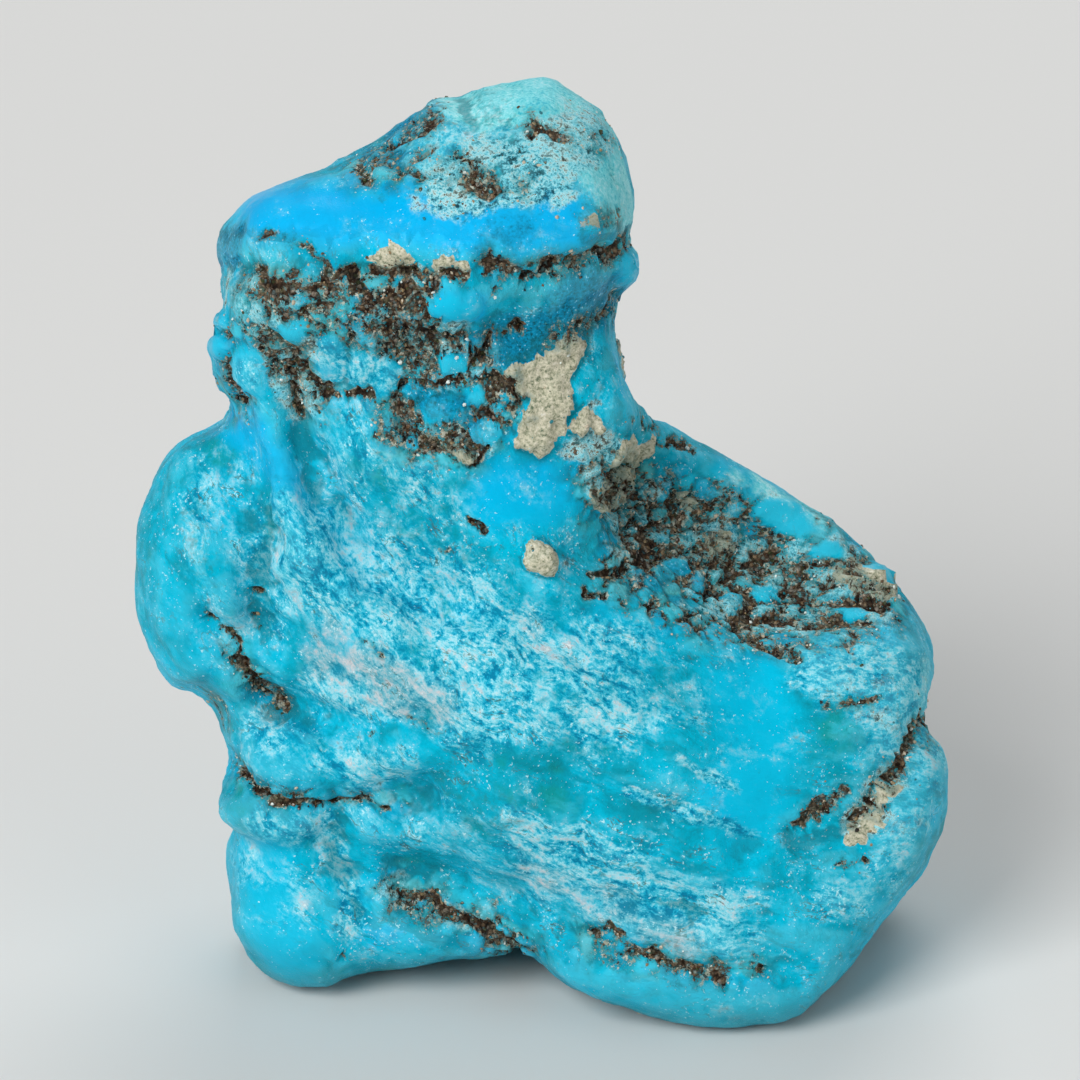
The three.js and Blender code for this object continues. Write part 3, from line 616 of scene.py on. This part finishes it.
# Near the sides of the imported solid's box the relief is squeezed so that it stays inside.
ROOM = 0.25  # mm
low, high = np.array(cad_box[0]) / MM, np.array(cad_box[1]) / MM
past = np.maximum(moved - (high - ROOM), 0)
moved += ROOM * (1 - np.exp(-past / ROOM)) - past
past = np.maximum(low + ROOM - moved, 0)
past[:, 2] = 0
moved += past - ROOM * (1 - np.exp(-past / ROOM))
moved[:, 2] = np.maximum(moved[:, 2], 0)
write_points(stone.data, moved)

# How far each point lies below its surroundings, for the painted shade in the hollows and the painted
# highlight on the crowns.
HOLLOW_DEPTH = 0.12  # mm between a worn crown and the bottom of a hollow
moved, facing = read_points(stone.data)
sunk = np.sum((smoothed(moved, 10) - moved) * facing, axis=1)
hollow = np.clip(0.5 + sunk / HOLLOW_DEPTH, 0, 1)


def store(mesh, name, columns):
    """Keeps up to three numbers a point on the mesh, for the material to read."""
    kept = np.zeros((len(mesh.vertices), 3), dtype=np.float32)
    kept[:, : len(columns)] = np.stack(columns, axis=1)
    mesh.attributes.new(name, "FLOAT_VECTOR", "POINT").data.foreach_set("vector", kept.ravel())


FIELDS = {
    "earth": ("filled", "cream", "green"),
    "bloom": ("chalk", "deep", "smooth"),
    # hollow sets the painted shade and the painted highlight; bleach and grit are the stone's own
    "wear_and_shading": ("hollow", "bleach", "grit"),
    "knots": ("seam", "tone", "nodular"),
    "veils": ("island", "blush"),
}
known = {**mineral, "filled": filled, "hollow": hollow, "seam": seam, "tone": tone, "nodular": nodular}
known["island"] = island * frontness
for name, kinds in FIELDS.items():
    store(stone.data, name, [known[kind] for kind in kinds])
store(stone.data, "layers", (layer, along, skin[:, 1]))

# ---------------------------------------------------------------------------
# Raw turquoise: a hydrated copper phosphate, waxy and nearly opaque, IOR about 1.6. Its
# dense parts are a smooth even sky blue. Weathered layers bleach to chalky white flecks,
# and the veins are crumbs of brown limonite, pale quartz and clay. Scales are real:
# matrix crumbs 0.12 mm, flecks 0.2 mm across and 0.6 mm long, sand 0.17 mm.
# ---------------------------------------------------------------------------


def linear(colour):
    """An sRGB hex colour as the linear colour and alpha that a shader takes."""
    parts = [int(colour[i : i + 2], 16) / 255 for i in (1, 3, 5)]
    return [c / 12.92 if c <= 0.04045 else ((c + 0.055) / 1.055) ** 2.4 for c in parts] + [1]


def add(tree, kind, inputs=None, out=0, stops=(), **settings):
    """Adds a node and gives one of its outputs. An input is a number, a hex colour or the
    output that feeds it."""
    new = tree.nodes.new("ShaderNode" + kind)
    for name, value in settings.items():
        setattr(new, name, value)
    for key, value in (inputs or {}).items():
        if isinstance(value, bpy.types.NodeSocket):
            tree.links.new(value, new.inputs[key])
        else:
            new.inputs[key].default_value = linear(value) if isinstance(value, str) else value
    for i, (at, colour) in enumerate(stops):
        stop = new.color_ramp.elements[i] if i < 2 else new.color_ramp.elements.new(at)
        stop.position, stop.color = at, linear(colour)
    return new.outputs[out] if new.outputs else new


def new_material(name):
    material = bpy.data.materials.new(name)
    material.use_nodes = True
    material.node_tree.nodes.clear()
    return material, material.node_tree


turquoise, tree = new_material("raw_turquoise")
MIX = {"out": 2, "data_type": "RGBA"}
CURVE = {"interpolation_type": "SMOOTHSTEP"}
TIMES, TIMES_PLUS = {"operation": "MULTIPLY"}, {"operation": "MULTIPLY_ADD"}

fields = {}
for name, kinds in FIELDS.items():
    vector = add(tree, "Attribute", out="Vector", attribute_name=name)
    parts = add(tree, "SeparateXYZ", {0: vector}).node
    fields.update(zip(kinds, parts.outputs))
mm = add(tree, "VectorMath", {0: add(tree, "NewGeometry"), "Scale": 1 / MM}, operation="SCALE")
height = add(tree, "SeparateXYZ", {0: mm}, out="Z")
layers = add(tree, "Attribute", out="Vector", attribute_name="layers")
drawn = add(tree, "VectorMath", {0: layers, 1: (1, 0.36, 0.5)}, **TIMES)

# Swells of noise: what they lie on, their size in millimetres, the rounds of detail,
# their roughness and how far they are bent. Those on "drawn" run along the layers.
SWELLS = {
    "broad": (mm, 3.6, 3, 0.6, 0),
    "patchy": (mm, 1.1, 5, 0.65, 0),
    "lot": (mm, 0.8, 5, 0.7, 0),
    "mottle": (mm, 0.3, 4, 0.7, 0),
    "sand": (mm, 0.17, 4, 0.85, 0),
    "fine": (mm, 0.11, 2, 0.7, 0),
    "flecks": (drawn, 0.22, 5, 0.74, 0),
    "strands": (drawn, 0.75, 4, 0.65, 0),
    "hairs": (drawn, 0.9, 5, 0.6, 0.3),
}
swell = {}
for name, (where, size, rounds, rough, bend) in SWELLS.items():
    detail = {"Detail": rounds, "Roughness": rough, "Distortion": bend}
    swell[name] = add(tree, "TexNoise", {"Vector": where, "Scale": 1 / size, **detail})
swing = {}  # the same swells, but round zero
for name in ("patchy", "mottle", "sand", "fine", "strands", "hairs"):
    swing[name] = add(tree, "Math", {0: swell[name], 1: 0.5}, operation="SUBTRACT")
CRUMB = 0.12  # mm across
crumb = add(tree, "TexVoronoi", {"Vector": mm, "Scale": 1 / CRUMB, "Randomness": 1})
crumb_tone = add(tree, "SeparateXYZ", {0: crumb.node.outputs["Color"]})

# Each pattern is a sum: of a mineral and the noise that frays its edge, or of noises.
SUMS = {
    "blue": ((swell["broad"], 0.55), (swell["patchy"], 0.45)),
    "deep": ((fields["deep"], 1), (swell["mottle"], 0.8)),
    "flecks": (
        (swell["flecks"], 0.65), (swell["mottle"], 0.4), (swing["strands"], 0.42), (swing["fine"], 0.25),
    ),
    "chalk": ((fields["chalk"], 1), (swell["patchy"], 1.5)),
    "blush": ((fields["blush"], 1), (swell["patchy"], 1.4)),
    "bleach": ((fields["bleach"], 1), (swell["patchy"], 1.6)),
    "pale": ((swell["patchy"], 0.5), (swell["fine"], 0.5)),
    # pale specks: partly white mineral flecks, partly painted glints
    "specks_and_glints": ((swell["fine"], 1), (swell["patchy"], 0.35), (fields["smooth"], -0.03)),
    "grit": ((fields["grit"], 1), (swell["patchy"], 2.2)),
    "sand": ((swell["sand"], 1), (swing["mottle"], 0.6), (swing["patchy"], 0.7)),
    "green": ((fields["green"], 1), (swell["mottle"], 1.6)),
    # painted shade in the hollows
    "painted_hollow_shade": ((fields["hollow"], 1), (swell["mottle"], 0.35)),
    # painted shade: darker towards the bottom of the stone
    "painted_foot_shade": ((height, 1), (swell["patchy"], -3)),
    "cream": ((fields["cream"], 1), (swell["mottle"], 0.9)),
    "clay": ((swell["fine"], 0.6), (swell["mottle"], 0.4)),
    "matrix": ((fields["filled"], 1), (swing["mottle"], 0.9), (swing["fine"], 0.55)),
    "strewn": ((fields["filled"], 1), (swing["sand"], 1.5)),
    "grains": ((crumb_tone, 0.6), (swell["lot"], 0.4)),
}
sums = {}
for name, parts in SUMS.items():
    sums[name] = 0
    for part, weight in parts:
        sums[name] = add(tree, "Math", {0: part, 1: weight, 2: sums[name]}, **TIMES_PLUS)

# The colours that each pattern runs through.
RAMPS = {
    # dense turquoise, from teal to sky blue
    "body": (sums["blue"], [
        (0.36, "#10989C"), (0.43, "#04A0B8"), (0.5, "#00B6D4"), (0.58, "#00C4E6"), (0.68, "#00B6F2"),
    ]),
    # each small nodule in the matrix is its own blue
    "own": (fields["tone"], [
        (0, "#0A84B4"), (0.3, "#0CA9D6"), (0.55, "#19BFDC"), (0.75, "#4CBFC4"), (0.9, "#7CC9C4"),
        (1, "#0E8FAE"),
    ]),
    # dense blue patches, sandy with dark specks
    "deep": (swell["fine"], [
        (0.34, "#0A4650"), (0.43, "#0A6F8C"), (0.55, "#0A86B0"), (0.7, "#14A2CC"),
    ]),
    # bleached flecks laid along the layers over blue gaps
    "chalk": (sums["flecks"], [
        (0.41, "#0A7FA4"), (0.47, "#12A6C8"), (0.52, "#44C2DA"), (0.57, "#84D8E8"), (0.63, "#ABE4EF"),
        (0.68, "#C4CDD4"), (0.75, "#E6F2F1"),
    ]),
    # the same where they are stained pinkish grey
    "blush": (sums["flecks"], [
        (0.42, "#2C8FA6"), (0.5, "#6FB3C0"), (0.58, "#A5BDC4"), (0.66, "#C9C4C6"), (0.76, "#E6E4E2"),
    ]),
    # bleached skin, evenly pale, blotched greener and whiter
    "pale": (sums["pale"], [
        (0.38, "#2FB4C8"), (0.45, "#6FD8DC"), (0.52, "#90E4E8"), (0.58, "#AEEEF2"), (0.66, "#CFF4F4"),
    ]),
    # sandy stone: grains of bleached turquoise, quartz, clay and dark ore
    "sandy": (sums["sand"], [
        (0.32, "#1E2B24"), (0.38, "#3F7480"), (0.44, "#5FB8C8"), (0.5, "#8FD8E0"), (0.57, "#BFE6E8"),
        (0.61, "#9DB4AC"), (0.65, "#7E6E52"), (0.7, "#2E2114"),
    ]),
    # cream crust: clay and quartz sand with grey-green specks
    "clay": (sums["clay"], [
        (0.36, "#66735C"), (0.43, "#9C9D84"), (0.5, "#C0BDA4"), (0.57, "#D4CEB6"), (0.66, "#E8E2D2"),
    ]),
    # matrix: each packed crumb has its own colour
    "crumbs": (crumb_tone, [
        (0, "#120D07"), (0.2, "#3A2414"), (0.34, "#634630"), (0.44, "#1E160D"), (0.56, "#7D6650"),
        (0.66, "#B79C78"), (0.76, "#2A8490"), (0.85, "#CDBFAE"), (0.94, "#46502F"),
    ]),
    # and so has each lot of crumbs
    "lots": (swell["lot"], [
        (0.36, "#140E07"), (0.43, "#34200F"), (0.48, "#5C4430"), (0.53, "#83705A"), (0.58, "#B5A58C"),
        (0.62, "#6B7355"), (0.68, "#2F7F84"),
    ]),
    # round the seams the blue is peppered with clay, ore and quartz
    "grains": (sums["grains"], [
        (0.15, "#241E12"), (0.28, "#4F4230"), (0.38, "#8C8068"), (0.46, "#1F8792"), (0.56, "#B5A98E"),
        (0.66, "#2F7F80"), (0.78, "#CFC9B4"),
    ]),
}
colours = {name: add(tree, "ValToRGB", {0: at}, stops=stops) for name, (at, stops) in RAMPS.items()}

# Colours that are blends: smooth skin is bluer high up, some chalk is stained, and the crumbs lie in dark
# limonite that is darkest in the heart of a vein, with painted shade in the gaps between them.
upper = add(tree, "MapRange", {0: height, 1: 14, 2: 21}, **CURVE)
sky = add(tree, "Mix", {0: upper, 6: "#04C4EA", 7: "#02B4F6"}, **MIX)
blush = add(tree, "MapRange", {0: sums["blush"], 1: 1.05, 2: 1.6, 3: 0, 4: 0.8}, **CURVE)
chalky = add(tree, "Mix", {0: blush, 6: colours["chalk"], 7: colours["blush"]}, **MIX)
# dark limonite and painted shade in the gaps between the crumbs
crumb_gaps_and_shade = add(tree, "MapRange", {0: crumb, 1: 0.35, 2: 0.75, 3: 0, 4: 0.6}, **CURVE)
heart = add(tree, "MapRange", {0: sums["matrix"], 1: 0.12, 2: 0.38, 3: 0, 4: 0.6}, **CURVE)
earth = add(tree, "Mix", {0: 0.55, 6: colours["lots"], 7: colours["crumbs"]}, **MIX)
earth = add(tree, "Mix", {0: crumb_gaps_and_shade, 6: earth, 7: "#17110A"}, **MIX)
earth = add(tree, "Mix", {0: heart, 6: earth, 7: "#1E150B"}, **MIX)

# What keeps some coats off: smooth skin takes few, and hair-fine threads need a patch.
unsmooth = add(tree, "Math", {0: fields["smooth"], 1: -0.9, 2: 1.0}, **TIMES_PLUS)
hair_here = add(tree, "MapRange", {0: swell["patchy"], 1: 0.47, 2: 0.6}, **CURVE)
hair_here = add(tree, "Math", {0: hair_here, 1: unsmooth}, **TIMES)
hair_line = add(tree, "Math", {0: swing["hairs"]}, operation="ABSOLUTE")

# Coats over the dense blue, each over the one before: its pattern, where on it the coat starts and is
# full, how much it then covers, what limits it, and its colour. Satin and shade are strands in the blue.
# The coat low down is painted shade, darker towards the foot of the stone; the coat in the hollows is
# painted shade, and the one on the crown of each swell a painted highlight; the pale specks are partly
# white mineral flecks and partly painted glints.
COATS = {
    "satin": (swell["strands"], 0.52, 0.68, 0.5, 1, "#40CDE6"),
    "shade": (swell["strands"], 0.48, 0.34, 0.75, 1, "#0A8FA2"),
    "smooth": (1, 0, 1, 0.8, fields["smooth"], sky),
    "nodules": (1, 0, 1, 0.65, fields["nodular"], colours["own"]),
    "rims": (fields["seam"], 0.9, 0.1, 0.75, fields["nodular"], "#20707A"),
    "islands": (1, 0, 1, 0.8, fields["island"], "#10C0E0"),
    "deep": (sums["deep"], 0.6, 1.1, 0.9, 1, colours["deep"]),
    "chalk": (sums["chalk"], 0.95, 1.5, 1, 1, chalky),
    "hairs": (hair_line, 0.009, 0.002, 0.75, hair_here, "#4F5B45"),
    "bleach": (sums["bleach"], 1.05, 1.5, 0.9, 1, colours["pale"]),
    # partly white mineral flecks, partly painted glints
    "specks_and_glints": (sums["specks_and_glints"], 0.82, 0.88, 0.8, 1, "#C4EFF4"),
    "grit": (sums["grit"], 1.4, 1.75, 0.92, 1, colours["sandy"]),
    "green": (sums["green"], 1.15, 1.6, 0.7, 1, "#23858A"),
    # painted shade: darker teal in the hollows
    "painted_hollow_shade": (sums["painted_hollow_shade"], 0.84, 1.15, 0.6, unsmooth, "#17707C"),
    # painted shade: darker teal towards the foot of the stone
    "painted_foot_shade": (sums["painted_foot_shade"], 0.9, -1.6, 0.6, 1, "#0E7C8A"),
    # painted highlight: paler on the crown of each swell
    "painted_crown_highlight": (fields["hollow"], 0.42, 0.1, 0.22, unsmooth, "#6FDAEC"),
    "cream": (sums["cream"], 0.86, 0.94, 1, 1, colours["clay"]),
    "stain": (sums["matrix"], -0.3, 0.02, 0.5, 1, "#1F6F70"),
    "strewn": (sums["strewn"], -0.05, 0.02, 0.85, 1, colours["grains"]),
    "matrix": (sums["matrix"], 0.02, 0.12, 1, 1, earth),
}
coats = {}
skin_colour = colours["body"]
for name, (at, start, full, most, limit, colour) in COATS.items():
    spread = add(tree, "MapRange", {0: at, 1: start, 2: full, 3: 0, 4: most}, **CURVE)
    coats[name] = add(tree, "Math", {0: spread, 1: limit}, **TIMES)
    skin_colour = add(tree, "Mix", {0: coats[name], 6: skin_colour, 7: colour}, **MIX)

# Waxy where it is dense, dull where it is chalky or crumbly.
roughness = add(tree, "Math", {0: fields["smooth"], 1: -0.16, 2: 0.46}, **TIMES_PLUS)
roughness = add(tree, "Math", {0: coats["chalk"], 1: 0.16, 2: roughness}, **TIMES_PLUS)
roughness = add(tree, "Math", {0: coats["matrix"], 1: 0.2, 2: roughness}, **TIMES_PLUS)
# The finest relief: flecks 0.1 mm deep, grain, and crumbs. Smooth skin has little of it.
uneven = add(tree, "Math", {0: fields["smooth"], 1: -0.85, 2: 1.0}, **TIMES_PLUS)
ribbed = add(tree, "Math", {0: swell["flecks"], 1: uneven}, **TIMES)
bump_at = add(tree, "Bump", {"Height": ribbed, "Distance": 0.1 * MM, "Strength": 0.7})
grainy = add(tree, "Math", {0: uneven, 1: 0.06}, operation="ADD")
grainy = add(tree, "Math", {0: swell["fine"], 1: grainy}, **TIMES)
bump_at = add(tree, "Bump", {"Height": grainy, "Distance": 0.05 * MM, "Strength": 0.6, "Normal": bump_at})
domed = add(tree, "Math", {0: 1.0, 1: crumb}, operation="SUBTRACT")
crumbled = add(tree, "Math", {0: domed, 1: coats["matrix"]}, **TIMES)
bump_at = add(tree, "Bump", {"Height": crumbled, "Distance": 0.1 * MM, "Strength": 0.9, "Normal": bump_at})
stone_skin = {
    "Base Color": skin_colour,
    "Roughness": roughness,
    "Normal": bump_at,
    "IOR": 1.6,
    "Specular IOR Level": 0.1,
    "Specular Tint": "#7CD8FF",
}
surface = add(tree, "BsdfPrincipled", stone_skin)
add(tree, "OutputMaterial", {"Surface": surface})

stone.data.materials.append(turquoise)
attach(stone, "root")
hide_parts("nugget")

# ---------------------------------------------------------------------------
# Crumbs of the matrix: grains of limonite, quartz and clay that stand out of the
# weathered hollows. They are cemented in, so each is sunk by about half.
# ---------------------------------------------------------------------------
CRUMB_COUNT = 9000
CRUMB_SIZE = (0.018, 0.09)  # mm, half-width of the smallest and the biggest
CLEAR_OF_FLOOR = 0.3  # mm
chance = np.random.default_rng(7)


def crumb_shapes(count):
    """Irregular twenty-sided grains of about unit size: points of each, and the faces of one."""
    ball = bmesh.new()
    bmesh.ops.create_icosphere(ball, subdivisions=1, radius=1)
    points = np.array([v.co[:] for v in ball.verts])
    faces = np.array([[v.index for v in f.verts] for f in ball.faces])
    ball.free()
    turned = np.linalg.qr(chance.normal(size=(count, 3, 3)))[0]
    lumpy = points * chance.uniform(0.65, 1.15, (count, len(points), 1))
    lumpy = lumpy * chance.uniform(0.6, 1.2, (count, 1, 3))
    return np.einsum("cpi,cij->cpj", lumpy, turned), faces


corner_of = np.empty(len(stone.data.polygons) * 4, dtype=np.int64)
stone.data.polygons.foreach_get("vertices", corner_of)
corner_of = corner_of.reshape(-1, 4)
area = np.empty(len(stone.data.polygons))
stone.data.polygons.foreach_get("area", area)
# Most crumbs lie in the matrix, some at its edges and a few on sandy or cream stone.
edges = step_up(filled, -0.25, 0.0)
wanted = matrix * (0.4 + cover) + 0.25 * edges + 0.2 * mineral["grit"] + 0.1 * mineral["cream"]
wanted = area * np.clip(wanted * (0.7 + rough_noise(skin, 0.5, 2, 81)), 0, 2)[corner_of].mean(axis=1)
wanted *= moved[corner_of[:, 0], 2] > CLEAR_OF_FLOOR
chosen = chance.choice(len(area), CRUMB_COUNT, p=wanted / wanted.sum())
share = chance.dirichlet((1, 1, 1, 1), CRUMB_COUNT)
roots = np.einsum("ck,cki->ci", share, moved[corner_of[chosen]])
out_of = facing[corner_of[chosen, 0]]
half = CRUMB_SIZE[0] + (CRUMB_SIZE[1] - CRUMB_SIZE[0]) * chance.random(CRUMB_COUNT) ** 2.5
shapes, crumb_faces = crumb_shapes(CRUMB_COUNT)
lift = half * chance.uniform(-0.5, 0.2, CRUMB_COUNT)
crumb_points = roots[:, None] + out_of[:, None] * lift[:, None, None] + shapes * half[:, None, None]
crumb_points = np.clip(crumb_points.reshape(-1, 3), low, high)
all_faces = (crumb_faces[None] + (np.arange(CRUMB_COUNT) * shapes.shape[1])[:, None, None]).reshape(-1, 3)
crumb_mesh = bpy.data.meshes.new("matrix_crumbs")
crumb_mesh.from_pydata((crumb_points * MM).tolist(), [], all_faces.tolist())
# The kind of each grain is its place in the run of colours below, from brown to pale:
# like its neighbours in the matrix, and paler outside it.
brownness = np.clip(1.6 * matrix, 0, 1)[corner_of[chosen, 0]]
lot = np.clip(0.4 + 0.9 * rough_noise(skin, 1.0, 3, 83), 0, 1)[corner_of[chosen, 0]]
kind = 0.5 * lot + 0.5 * chance.random(CRUMB_COUNT)
kind = kind * brownness + (0.5 + 0.5 * chance.random(CRUMB_COUNT)) * (1 - brownness)
store(crumb_mesh, "kind", [np.repeat(kind, shapes.shape[1])] * 3)
matrix_crumbs = bpy.data.objects.new("matrix_crumbs", crumb_mesh)
bpy.context.scene.collection.objects.link(matrix_crumbs)

# Limonite and quartz: broken grains, each of one colour from near black to glassy white,
# a little shinier than the stone, with brown dust on them.
DUST = 0.08  # mm across a patch of dust
limonite, tree = new_material("limonite_and_quartz_grains")
sort = add(tree, "Attribute", out="Fac", attribute_name="kind")
GRAINS = [
    (0, "#140F08"), (0.2, "#36220F"), (0.32, "#1C150C"), (0.42, "#604830"), (0.53, "#3D4628"),
    (0.6, "#1F7F8A"), (0.68, "#9A8462"), (0.79, "#C9BBA4"), (0.91, "#E4EEE8"),
]
grain_colour = add(tree, "ValToRGB", {0: sort}, stops=GRAINS)
grain_colour.node.color_ramp.interpolation = "CONSTANT"
dust = add(tree, "TexNoise", {"Vector": add(tree, "NewGeometry"), "Scale": 1 / (DUST * MM), "Detail": 2})
dusty = add(tree, "MapRange", {0: dust, 1: 0.35, 2: 0.65, 3: 0, 4: 0.25}, **CURVE)
speckled = add(tree, "Mix", {0: dusty, 6: grain_colour, 7: "#4A3A28"}, **MIX)
pitted = add(tree, "Bump", {"Height": dust, "Distance": 0.02 * MM, "Strength": 0.6})
grain = {"Base Color": speckled, "Roughness": 0.26, "IOR": 1.55, "Normal": pitted}
add(tree, "OutputMaterial", {"Surface": add(tree, "BsdfPrincipled", grain)})
crumb_mesh.materials.append(limonite)
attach(matrix_crumbs, "root")
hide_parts("nugget")

# ---------------------------------------------------------------------------
# The studio: a plain pale table that runs back out of view, lit softly from above and
# the left, with a weaker fill from the right and a broad light behind for the rims.
# ---------------------------------------------------------------------------
TABLE_SIDE = 3.0  # metres
table_mesh = bpy.data.meshes.new("table")
half_table = TABLE_SIDE / 2
corners = [(x * half_table, y * half_table, 0) for x, y in ((-1, -1), (1, -1), (1, 1), (-1, 1))]
table_mesh.from_pydata(corners, [], [(0, 1, 2, 3)])
table = bpy.data.objects.new("table", table_mesh)
bpy.context.scene.collection.objects.link(table)
# Matt paper: an even pale grey with no shine.
paper, tree = new_material("pale_studio_paper")
sheet = add(tree, "BsdfPrincipled", {"Base Color": "#DEDEDC", "Roughness": 0.8, "Specular IOR Level": 0.2})
add(tree, "OutputMaterial", {"Surface": sheet})
table_mesh.materials.append(paper)


def aimed(thing, place_at, target):
    """Puts a light or the camera at a place, pointing at the target."""
    at = bpy.data.objects.new(thing.name, thing)
    bpy.context.scene.collection.objects.link(at)
    away = np.array(place_at) - np.array(target)
    at.location = place_at
    flat = math.hypot(away[0], away[1])
    at.rotation_euler = (math.atan2(flat, away[2]), 0, math.atan2(away[0], -away[1]))
    return at


STONE_MIDDLE = (0, 0, 0.013)  # metres
SOFT_LIGHTS = [
    # name, where it hangs in metres, its side in metres, its power in watts
    ("key", (-0.18, -0.24, 0.24), 0.2, 1.15),
    ("fill", (0.26, -0.22, 0.14), 0.26, 0.22),
    ("rim", (0.06, 0.26, 0.24), 0.24, 0.55),
]
for name, where, side, power in SOFT_LIGHTS:
    lamp = bpy.data.lights.new(name, "AREA")
    lamp.shape, lamp.size, lamp.energy = "SQUARE", side, power
    aimed(lamp, where, STONE_MIDDLE)

AIR_LIGHT = 0.24  # strength of the even light from all round
world = bpy.data.worlds.new("studio_air")
world.use_nodes = True
air = world.node_tree.nodes["Background"]
air.inputs["Color"].default_value = linear("#F4F6F8")
air.inputs["Strength"].default_value = AIR_LIGHT
bpy.context.scene.world = world
bpy.context.scene.view_settings.view_transform = "Standard"

LENS, SENSOR = 200, 36  # mm: focal length and width
lens = bpy.data.cameras.new("camera")
lens.lens, lens.sensor_width = LENS, SENSOR
lens.clip_start, lens.clip_end = 0.01, 10
looked_at = np.array(MIDDLE) * MM
camera = aimed(lens, looked_at + to_eye * EYE * MM, looked_at)
bpy.context.scene.camera = camera
